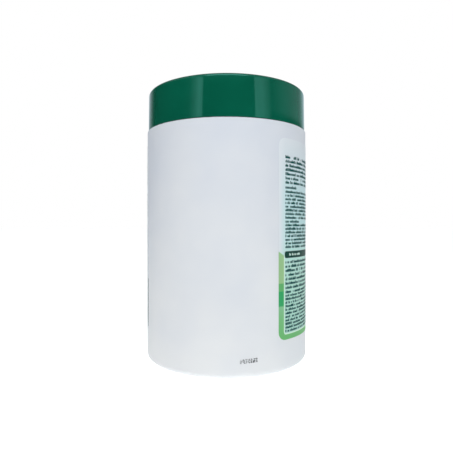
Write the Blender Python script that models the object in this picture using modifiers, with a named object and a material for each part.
"""A disinfectant wipes canister: blow-moulded jar, wrap label and screw lid with a flip cap.

The origin is at the middle of the base, +Z runs up the canister's axis, and the thumb tab of the
flip cap faces -Y. Angles called "bearing" start at -Y and grow towards +X.
"""

import math

import bmesh
import bpy
from mathutils import Vector

MM = 0.001

# Jar
BODY_RADIUS = 57.5 * MM
WALL = 1.3 * MM
FLOOR = 1.4 * MM
HEEL_WIDTH = 8.9 * MM
HEEL_HEIGHT = 4.9 * MM
PUSH_UP_RADIUS = 40.0 * MM
PUSH_UP_HEIGHT = 3.0 * MM
PUSH_UP_SLOPE = 4.0 * MM
SHOULDER_Z = 162.3 * MM
SHOULDER_ROUND = 1.2 * MM
NECK_RADIUS = 52.3 * MM
NECK_WALL = 1.6 * MM
NECK_ROOT_ROUND = 1.0 * MM
NECK_RIM_Z = 185.5 * MM
NECK_RIM_ROUND = 0.4 * MM

# Lid
LID_HEIGHT_Z = 190.0 * MM
LID_BOTTOM_Z = 162.7 * MM
LID_BOTTOM_RADIUS = 56.6 * MM
LID_TOP_RADIUS = 56.0 * MM
LID_TOP_ROUND = 2.1 * MM
LID_INNER_RADIUS = 54.5 * MM
LID_EDGE = 0.4 * MM
LID_INNER_CORNER = 0.8 * MM
RIM_INNER_RADIUS = 51.4 * MM
RIM_SLOPE = 0.4 * MM
DECK_Z = 188.8 * MM
DECK_WALL = 1.7 * MM

# Recess that the flip cap lies in, and the well under it
RECESS_RADIUS = 33.2 * MM
LEDGE_Z = 186.2 * MM
LEDGE_WALL = 1.8 * MM
WELL_RADIUS = 24.3 * MM
WELL_FLOOR_Z = 178.0 * MM
WELL_WALL = 1.6 * MM
ORIFICE_RADIUS = 13.0 * MM
CUT_TOP_Z = LID_HEIGHT_Z + 2 * MM

# Pockets at the front, for a fingertip, and at the back, for the hinge
POCKET_HALF_WIDTH = 13.0 * MM
POCKET_SIDE_WALL = 3.0 * MM
POCKET_START = 30.4 * MM
PAN_INNER_WALL = 1.0 * MM
POCKET_FLOOR_Z = 184.6 * MM
FINGER_POCKET_END = 42.0 * MM

# Flip cap and its hinge
CAP_RADIUS = 32.6 * MM
CAP_TOP_Z = 188.7 * MM
CAP_THICKNESS = 2.2 * MM
CAP_ROUND = 0.5 * MM
PLUG_RADIUS = 23.7 * MM
PLUG_WALL = 1.3 * MM
PLUG_DEPTH = 2.3 * MM
HINGE_Y = 36.5 * MM
HINGE_Z = 186.9 * MM
HINGE_SWEEP = 3.4 * MM
BARREL_RADIUS = 1.7 * MM
BARREL_HALF = 12.2 * MM
PIN_RADIUS = 0.9 * MM
PIN_HALF = 14.6 * MM
SOCKET_RADIUS = 1.2 * MM
SOCKET_HALF = 15.0 * MM
TAB_HALF_WIDTH = 8.0 * MM
TAB_REACH = 37.5 * MM
TAB_THICKNESS = 1.7 * MM
SINK = 0.1 * MM

# Two-start right-hand thread
THREAD_LEAD = 12.0 * MM
THREAD_STARTS = 2
THREAD_ROOT_WIDTH = 3.2 * MM
THREAD_CREST_WIDTH = 1.6 * MM
THREAD_EMBED = 0.45 * MM
JAR_THREAD_CREST = 54.0 * MM
JAR_THREAD_Z = 169.5 * MM
JAR_THREAD_TURN = 1.0
LID_THREAD_CREST = 52.8 * MM
LID_THREAD_Z = JAR_THREAD_Z - THREAD_LEAD / THREAD_STARTS / 2
LID_THREAD_TURN = 0.75

# Gasket, orifice insert
GASKET_INNER = 49.8 * MM
GASKET_OUTER = 53.6 * MM
GASKET_THICKNESS = 1.0 * MM
FIT_GAP = 0.3 * MM
INSERT_FLANGE_RADIUS = 15.6 * MM
INSERT_FLANGE = 1.1 * MM
INSERT_BODY_RADIUS = 12.6 * MM
INSERT_BORE_RADIUS = 11.2 * MM
INSERT_BEAD_RADIUS = 13.5 * MM
INSERT_BEAD_HEIGHT = 1.2 * MM
MEMBRANE = 0.8 * MM
MEMBRANE_DISH = 0.5 * MM
STAR_HOLE_RADIUS = 4.5 * MM
SLIT_COUNT = 6
SLIT_WIDTH = 0.5 * MM
SLIT_END_RADIUS = 10.0 * MM

# Wipes
ROLL_RADIUS = 48.5 * MM
ROLL_CORE_RADIUS = 17.0 * MM
ROLL_BOTTOM_Z = 4.8 * MM
ROLL_WIDTH = 152.0 * MM
ROLL_ROUND = 1.5 * MM
STRIP_WAIST_RADIUS = 4.0 * MM
STRIP_STEPS = 20
TUFT_RADIUS = 8.5 * MM
TUFT_TOP_Z = 184.0 * MM
TUFT_GAP = 0.6 * MM
BELL_RADIUS = 13.0 * MM
BELL_BOTTOM_Z = 140.0 * MM
BELL_RINGS = 5

# Label: bearings of its two ends, and its lower and upper edges
LABEL_START = 35.2
LABEL_END = 288.0
LABEL_BOTTOM_Z = 21.6 * MM
LABEL_TOP_Z = 152.0 * MM
LABEL_CORNER = 5.0 * MM
LABEL_GAP = 0.2 * MM
LABEL_THICKNESS = 0.15 * MM
LABEL_STEP = 3.75

TURN_STEPS = 48
ROD_SEGMENTS = 20
PIN_SEGMENTS = 12

LID_GREEN = (0.003, 0.095, 0.058)


def clear_scene():
    for item in list(bpy.data.objects):
        bpy.data.objects.remove(item, do_unlink=True)


def new_collection(name):
    collection = bpy.data.collections.new(name)
    bpy.context.scene.collection.children.link(collection)
    return collection


def plastic(name, colour, roughness):
    """A Principled material; colour is linear RGB."""
    material = bpy.data.materials.new(name)
    material.use_nodes = True
    shader = material.node_tree.nodes["Principled BSDF"]
    shader.inputs["Base Color"].default_value = (*colour, 1.0)
    shader.inputs["Roughness"].default_value = roughness
    shader.inputs["Metallic"].default_value = 0.0
    return material


def add_mesh(name, mesh, collection, material=None):
    item = bpy.data.objects.new(name, mesh)
    collection.objects.link(item)
    if material:
        mesh.materials.append(material)
    return item


def add_bmesh(name, shape, collection, material=None):
    mesh = bpy.data.meshes.new(name)
    shape.to_mesh(mesh)
    shape.free()
    return add_mesh(name, mesh, collection, material)


def smooth(item, angle=35.0):
    item.data.shade_smooth()
    item.data.set_sharp_from_angle(angle=math.radians(angle))


def as_tool(item):
    """Marks a shape that only cuts or joins another one."""
    item.hide_render = True
    item.display_type = "WIRE"
    return item


def arc(centre, radii, start, end, count):
    """Points on an elliptical arc in the (radius, z) plane, both ends included; degrees."""
    points = []
    for index in range(count + 1):
        angle = math.radians(start + (end - start) * index / count)
        points.append((centre[0] + radii[0] * math.cos(angle), centre[1] + radii[1] * math.sin(angle)))
    return points


def turned(name, profile, collection, material=None, closed=False, steps=TURN_STEPS):
    """Turns a (radius, z) profile about Z. The profile runs down its outer side."""
    mesh = bpy.data.meshes.new(name)
    edges = [(index, index + 1) for index in range(len(profile) - 1)]
    if closed:
        edges.append((len(profile) - 1, 0))
    mesh.from_pydata([(radius, 0.0, z) for radius, z in profile], edges, [])
    item = add_mesh(name, mesh, collection, material)
    screw = item.modifiers.new("Turn", "SCREW")
    screw.axis = "Z"
    screw.angle = math.tau
    screw.steps = steps
    screw.render_steps = steps
    screw.use_merge_vertices = True
    screw.merge_threshold = 0.00001
    screw.use_smooth_shade = True
    return item


def box(name, low, high, collection):
    """A box between two corners."""
    shape = bmesh.new()
    bmesh.ops.create_cube(shape, size=1.0)
    size = Vector(high) - Vector(low)
    middle = (Vector(high) + Vector(low)) / 2
    bmesh.ops.scale(shape, vec=size, verts=shape.verts)
    item = add_bmesh(name, shape, collection)
    item.location = middle
    return item


def rod_x(name, radius, half_length, y, z, collection, segments=ROD_SEGMENTS):
    """A cylinder along X."""
    shape = bmesh.new()
    bmesh.ops.create_cone(shape, cap_ends=True, segments=segments, radius1=radius, radius2=radius,
                          depth=2 * half_length)
    item = add_bmesh(name, shape, collection)
    item.rotation_euler = (0.0, math.radians(90.0), 0.0)
    item.location = (0.0, y, z)
    return item


def boolean(target, tool, operation):
    as_tool(tool)
    modifier = target.modifiers.new(tool.name, "BOOLEAN")
    modifier.operation = operation
    modifier.solver = "EXACT"
    modifier.object = tool


def loft(name, sections, collection):
    """A closed solid through rings of equal length, with flat ends."""
    shape = bmesh.new()
    rings = [[shape.verts.new(point) for point in section] for section in sections]
    for first, second in zip(rings, rings[1:]):
        for index in range(len(first)):
            following = (index + 1) % len(first)
            shape.faces.new((first[index], first[following], second[following], second[index]))
    shape.faces.new(rings[0])
    shape.faces.new(reversed(rings[-1]))
    bmesh.ops.recalc_face_normals(shape, faces=shape.faces)
    return add_bmesh(name, shape, collection)


def thread_start(name, root, crest, first_z, turns, first_angle, collection):
    """One thread ridge on a helix; its height runs in and out over the first and last steps."""
    step_count = round(turns * TURN_STEPS)
    fade_steps = 3
    sections = []
    for index in range(step_count + 1):
        angle = first_angle + math.tau * turns * index / step_count
        middle = first_z + THREAD_LEAD * turns * index / step_count
        height = min(1.0, (index + 0.6) / fade_steps, (step_count - index + 0.6) / fade_steps)
        tip = root + (crest - root) * height
        root_half = THREAD_ROOT_WIDTH / 2
        tip_half = root_half + (THREAD_CREST_WIDTH / 2 - root_half) * height
        section = []
        for radius, lift in ((root, -root_half), (tip, -tip_half), (tip, tip_half), (root, root_half)):
            section.append((radius * math.cos(angle), radius * math.sin(angle), middle + lift))
        sections.append(section)
    return loft(name, sections, collection)


def add_threads(target, label, root, crest, first_z, turns, collection):
    for start in range(THREAD_STARTS):
        first_angle = math.tau * start / THREAD_STARTS
        name = f"{label}_thread_{start + 1}"
        ridge = thread_start(name, root, crest, first_z, turns, first_angle, collection)
        boolean(target, ridge, "UNION")


def jar_profile():
    inner = BODY_RADIUS - WALL
    neck_inner = NECK_RADIUS - NECK_WALL
    under_shoulder = SHOULDER_Z - WALL
    heel = (BODY_RADIUS - HEEL_WIDTH, HEEL_HEIGHT)
    inner_heel = (HEEL_WIDTH - WALL, HEEL_HEIGHT - FLOOR)
    top_round = (SHOULDER_ROUND, SHOULDER_ROUND)
    root_round = (NECK_ROOT_ROUND, NECK_ROOT_ROUND)
    rim_round = (NECK_RIM_ROUND, NECK_RIM_ROUND)
    rim_z = NECK_RIM_Z - NECK_RIM_ROUND
    crown_radius = PUSH_UP_RADIUS - PUSH_UP_SLOPE
    profile = [(0.0, PUSH_UP_HEIGHT + FLOOR), (crown_radius, PUSH_UP_HEIGHT + FLOOR), (PUSH_UP_RADIUS, FLOOR)]
    profile += arc(heel, inner_heel, -90, 0, 5)
    profile += arc((inner - SHOULDER_ROUND, under_shoulder - SHOULDER_ROUND), top_round, 0, 90, 2)
    profile += arc((neck_inner + NECK_ROOT_ROUND, under_shoulder + NECK_ROOT_ROUND), root_round, -90, -180, 2)
    profile += arc((neck_inner + NECK_RIM_ROUND, rim_z), rim_round, 180, 90, 1)
    profile += arc((NECK_RADIUS - NECK_RIM_ROUND, rim_z), rim_round, 90, 0, 1)
    profile += arc((NECK_RADIUS + NECK_ROOT_ROUND, SHOULDER_Z + NECK_ROOT_ROUND), root_round, 180, 270, 2)
    profile += arc((BODY_RADIUS - SHOULDER_ROUND, SHOULDER_Z - SHOULDER_ROUND), top_round, 90, 0, 3)
    profile += arc(heel, (HEEL_WIDTH, HEEL_HEIGHT), 0, -90, 6)
    profile += [(PUSH_UP_RADIUS + FLOOR, 0.0), (crown_radius + FLOOR, PUSH_UP_HEIGHT), (0.0, PUSH_UP_HEIGHT)]
    return profile


def make_jar(parts, tools):
    material = plastic("white_hdpe", (0.76, 0.78, 0.80), 0.35)
    jar = turned("jar_body", jar_profile(), parts, material)
    add_threads(jar, "jar", NECK_RADIUS - THREAD_EMBED, JAR_THREAD_CREST, JAR_THREAD_Z, JAR_THREAD_TURN, tools)
    return jar


def make_label(parts):
    """A film that covers part of the jar's wall, with rounded corners; two points a column."""
    radius = BODY_RADIUS + LABEL_GAP
    length = radius * math.radians(LABEL_END - LABEL_START)
    quarter = [LABEL_CORNER * (1.0 - math.cos(math.radians(angle))) for angle in (0.0, 22.5, 45.0, 67.5)]
    count = round((LABEL_END - LABEL_START) / LABEL_STEP)
    run = length - 2 * LABEL_CORNER
    columns = quarter + [LABEL_CORNER + run * index / count for index in range(count + 1)]
    columns += [length - place for place in reversed(quarter)]
    shape = bmesh.new()
    pairs = []
    for place in columns:
        near_end = min(place, length - place, LABEL_CORNER)
        inset = LABEL_CORNER - math.sqrt(LABEL_CORNER**2 - (LABEL_CORNER - near_end) ** 2)
        bearing = math.radians(LABEL_START) + place / radius
        x = radius * math.sin(bearing)
        y = -radius * math.cos(bearing)
        low = shape.verts.new((x, y, LABEL_BOTTOM_Z + inset))
        high = shape.verts.new((x, y, LABEL_TOP_Z - inset))
        pairs.append((low, high))
    for first, second in zip(pairs, pairs[1:]):
        shape.faces.new((first[0], second[0], second[1], first[1]))
    label = add_bmesh("label", shape, parts, plastic("label_film", (0.52, 0.72, 0.68), 0.4))
    thicken = label.modifiers.new("Film thickness", "SOLIDIFY")
    thicken.thickness = LABEL_THICKNESS
    thicken.offset = 1.0
    thicken.use_even_offset = True
    return label


def lid_profile():
    """The lid's section as a closed loop: well, deck, rim, skirt, and back under the deck."""
    deck_under = DECK_Z - DECK_WALL
    ledge_under = LEDGE_Z - LEDGE_WALL
    well_under = WELL_FLOOR_Z - WELL_WALL
    top_round = (LID_TOP_ROUND, LID_TOP_ROUND)
    inner_round = (LID_INNER_CORNER, LID_INNER_CORNER)
    profile = [(ORIFICE_RADIUS, WELL_FLOOR_Z), (WELL_RADIUS, WELL_FLOOR_Z), (WELL_RADIUS, DECK_Z)]
    profile += [(RIM_INNER_RADIUS, DECK_Z), (RIM_INNER_RADIUS + RIM_SLOPE, LID_HEIGHT_Z)]
    profile += arc((LID_TOP_RADIUS - LID_TOP_ROUND, LID_HEIGHT_Z - LID_TOP_ROUND), top_round, 90, 0, 4)
    profile += [(LID_BOTTOM_RADIUS, LID_BOTTOM_Z + LID_EDGE), (LID_BOTTOM_RADIUS - LID_EDGE, LID_BOTTOM_Z)]
    profile += [(LID_INNER_RADIUS + LID_EDGE, LID_BOTTOM_Z), (LID_INNER_RADIUS, LID_BOTTOM_Z + 2 * LID_EDGE)]
    corner = (LID_INNER_RADIUS - LID_INNER_CORNER, deck_under - LID_INNER_CORNER)
    profile += arc(corner, inner_round, 0, 90, 2)
    profile += [(RECESS_RADIUS + LEDGE_WALL, deck_under), (RECESS_RADIUS + LEDGE_WALL, ledge_under)]
    profile += [(WELL_RADIUS + WELL_WALL, ledge_under), (WELL_RADIUS + WELL_WALL, well_under)]
    profile.append((ORIFICE_RADIUS, well_under))
    return profile


def pan_and_pocket(label, side, end, tools):
    """The pan that hangs under a pocket, and the pocket's cutter; side is -1 in front, 1 behind."""
    pan_y = sorted((side * (POCKET_START - PAN_INNER_WALL), side * (end + LEDGE_WALL)))
    pocket_y = sorted((side * POCKET_START, side * end))
    half = POCKET_HALF_WIDTH + POCKET_SIDE_WALL
    pan_low = (-half, pan_y[0], POCKET_FLOOR_Z - LEDGE_WALL)
    pan_high = (half, pan_y[1], DECK_Z - DECK_WALL / 2)
    pocket_low = (-POCKET_HALF_WIDTH, pocket_y[0], POCKET_FLOOR_Z)
    pocket_high = (POCKET_HALF_WIDTH, pocket_y[1], CUT_TOP_Z)
    return box(f"{label}_pan", pan_low, pan_high, tools), box(f"{label}_pocket", pocket_low, pocket_high, tools)


def make_lid(parts, tools):
    lid = turned("lid_shell", lid_profile(), parts, plastic("green_pp", LID_GREEN, 0.15), closed=True)
    finger_pan, finger_pocket = pan_and_pocket("finger", -1, FINGER_POCKET_END, tools)
    hinge_pan, hinge_pocket = pan_and_pocket("hinge", 1, HINGE_Y + HINGE_SWEEP, tools)
    recess = [(0.0, CUT_TOP_Z), (RECESS_RADIUS, CUT_TOP_Z), (RECESS_RADIUS, LEDGE_Z), (0.0, LEDGE_Z)]
    cutters = [turned("cap_recess", recess, tools), finger_pocket, hinge_pocket]
    cutters.append(rod_x("hinge_sockets", SOCKET_RADIUS, SOCKET_HALF, HINGE_Y, HINGE_Z, tools))
    for pan in (finger_pan, hinge_pan):
        boolean(lid, pan, "UNION")
    for cutter in cutters:
        boolean(lid, cutter, "DIFFERENCE")
    root = LID_INNER_RADIUS + THREAD_EMBED
    add_threads(lid, "lid", root, LID_THREAD_CREST, LID_THREAD_Z, LID_THREAD_TURN, tools)
    return lid


def make_flip_cap(parts, tools):
    """A disc with a plug ring below, a thumb tab at the front and a hinge barrel at the back."""
    under = CAP_TOP_Z - CAP_THICKNESS
    edge = (CAP_ROUND, CAP_ROUND)
    profile = [(0.0, CAP_TOP_Z)]
    profile += arc((CAP_RADIUS - CAP_ROUND, CAP_TOP_Z - CAP_ROUND), edge, 90, 0, 2)
    profile += [(CAP_RADIUS, under), (0.0, under)]
    cap = turned("flip_cap", profile, parts, plastic("green_pp_cap", LID_GREEN, 0.15))
    plug_inner = PLUG_RADIUS - PLUG_WALL
    plug_top = under + CAP_THICKNESS / 2
    plug = [(plug_inner, plug_top), (PLUG_RADIUS, plug_top), (PLUG_RADIUS, under - PLUG_DEPTH),
            (plug_inner, under - PLUG_DEPTH)]
    boolean(cap, turned("plug_ring", plug, tools, closed=True), "UNION")
    tongue_low = (-BARREL_HALF, PLUG_RADIUS, under + SINK)
    tongue_high = (BARREL_HALF, HINGE_Y, CAP_TOP_Z - SINK)
    boolean(cap, box("hinge_tongue", tongue_low, tongue_high, tools), "UNION")
    boolean(cap, rod_x("hinge_barrel", BARREL_RADIUS, BARREL_HALF, HINGE_Y, HINGE_Z, tools), "UNION")
    boolean(cap, rod_x("hinge_pins", PIN_RADIUS, PIN_HALF, HINGE_Y, HINGE_Z, tools, PIN_SEGMENTS), "UNION")
    tab_low = (-TAB_HALF_WIDTH, -TAB_REACH, CAP_TOP_Z - SINK - TAB_THICKNESS)
    tab_high = (TAB_HALF_WIDTH, -PLUG_RADIUS, CAP_TOP_Z - SINK)
    boolean(cap, box("thumb_tab", tab_low, tab_high, tools), "UNION")
    return cap


def make_gasket(parts):
    low = NECK_RIM_Z + FIT_GAP
    high = low + GASKET_THICKNESS
    profile = [(GASKET_INNER, high), (GASKET_OUTER, high), (GASKET_OUTER, low), (GASKET_INNER, low)]
    return turned("neck_gasket", profile, parts, plastic("foam_pe", (0.8, 0.8, 0.78), 0.7), closed=True)


def make_insert(parts, tools):
    """A soft ring that snaps into the lid's orifice and carries a star-cut membrane."""
    flange_low = WELL_FLOOR_Z + FIT_GAP
    flange_high = flange_low + INSERT_FLANGE
    bead_high = WELL_FLOOR_Z - WELL_WALL - FIT_GAP
    bead_low = bead_high - INSERT_BEAD_HEIGHT
    membrane_low = WELL_FLOOR_Z - FIT_GAP
    membrane_high = membrane_low + MEMBRANE
    profile = [(STAR_HOLE_RADIUS, membrane_high), (INSERT_BORE_RADIUS, membrane_high - MEMBRANE_DISH)]
    profile += [(INSERT_BODY_RADIUS, flange_high), (INSERT_FLANGE_RADIUS, flange_high)]
    profile += [(INSERT_FLANGE_RADIUS, flange_low), (INSERT_BODY_RADIUS, flange_low)]
    profile += [(INSERT_BODY_RADIUS, bead_high), (INSERT_BEAD_RADIUS, bead_high - FIT_GAP)]
    profile += [(INSERT_BODY_RADIUS, bead_low), (INSERT_BORE_RADIUS, bead_low)]
    profile += [(INSERT_BORE_RADIUS, membrane_low - MEMBRANE_DISH), (STAR_HOLE_RADIUS, membrane_low)]
    insert = turned("orifice_insert", profile, parts, plastic("soft_pe", (0.75, 0.76, 0.76), 0.45), closed=True)
    for index in range(SLIT_COUNT // 2):
        low = (-SLIT_END_RADIUS, -SLIT_WIDTH / 2, membrane_low - MM)
        high = (SLIT_END_RADIUS, SLIT_WIDTH / 2, membrane_high + MM)
        slit = box(f"slit_{index + 1}", low, high, tools)
        slit.rotation_euler = (0.0, 0.0, math.tau * (index + 0.5) / SLIT_COUNT)
        boolean(insert, slit, "DIFFERENCE")
    return insert


def make_roll(parts):
    top = ROLL_BOTTOM_Z + ROLL_WIDTH
    edge = (ROLL_ROUND, ROLL_ROUND)
    profile = [(ROLL_CORE_RADIUS, top)]
    profile += arc((ROLL_RADIUS - ROLL_ROUND, top - ROLL_ROUND), edge, 90, 0, 2)
    profile += arc((ROLL_RADIUS - ROLL_ROUND, ROLL_BOTTOM_Z + ROLL_ROUND), edge, 0, -90, 2)
    profile.append((ROLL_CORE_RADIUS, ROLL_BOTTOM_Z))
    return turned("wipe_roll", profile, parts, plastic("nonwoven", (0.82, 0.83, 0.84), 0.9), closed=True)


def make_strip(parts):
    """The leading wipe: a tuft above the star hole, a waist in it, a bell into the roll's core."""
    waist_low = WELL_FLOOR_Z - WELL_WALL - FIT_GAP
    tuft_low = WELL_FLOOR_Z - FIT_GAP + MEMBRANE + TUFT_GAP
    tuft_half = (TUFT_TOP_Z - tuft_low) / 2
    profile = arc((0.0, TUFT_TOP_Z - tuft_half), (TUFT_RADIUS, tuft_half), 90, -60, 5)
    profile += [(STRIP_WAIST_RADIUS, tuft_low), (STRIP_WAIST_RADIUS, waist_low)]
    for index in range(1, BELL_RINGS + 1):
        share = index / BELL_RINGS
        ease = share * share * (3 - 2 * share)
        radius = STRIP_WAIST_RADIUS + (BELL_RADIUS - STRIP_WAIST_RADIUS) * ease
        profile.append((radius, waist_low + (BELL_BOTTOM_Z - waist_low) * share))
    profile.append((0.0, BELL_BOTTOM_Z))
    material = plastic("nonwoven_strip", (0.82, 0.83, 0.84), 0.9)
    return turned("wipe_strip", profile, parts, material, steps=STRIP_STEPS)


def add_axis(name, location, collection):
    """An empty on a joint's axis."""
    axis = bpy.data.objects.new(name, None)
    axis.empty_display_size = 10 * MM
    axis.location = location
    collection.objects.link(axis)
    return axis


def hang(children, axis):
    """Parents pieces to a joint's empty without moving them."""
    for child in children:
        child.parent = axis
        child.location = Vector(child.location) - Vector(axis.location)


def main():
    clear_scene()
    parts = new_collection("disinfectant_jar")
    tools = new_collection("cutters")
    jar = make_jar(parts, tools)
    label = make_label(parts)
    roll = make_roll(parts)
    gasket = make_gasket(parts)
    lid = make_lid(parts, tools)
    insert = make_insert(parts, tools)
    strip = make_strip(parts)
    cap = make_flip_cap(parts, tools)
    hinge = add_axis("flap_hinge_axis", (0.0, HINGE_Y, HINGE_Z), parts)
    hang([cap], hinge)
    lid_axis = add_axis("lid_turn_axis", (0.0, 0.0, LID_BOTTOM_Z), parts)
    hang([lid, insert, strip, hinge], lid_axis)
    rise_axis = add_axis("lid_rise_axis", (0.0, 0.0, NECK_RIM_Z), parts)
    hang([gasket, lid_axis], rise_axis)
    for item in (jar, label, roll, gasket, lid, insert, strip, cap):
        smooth(item)


main()
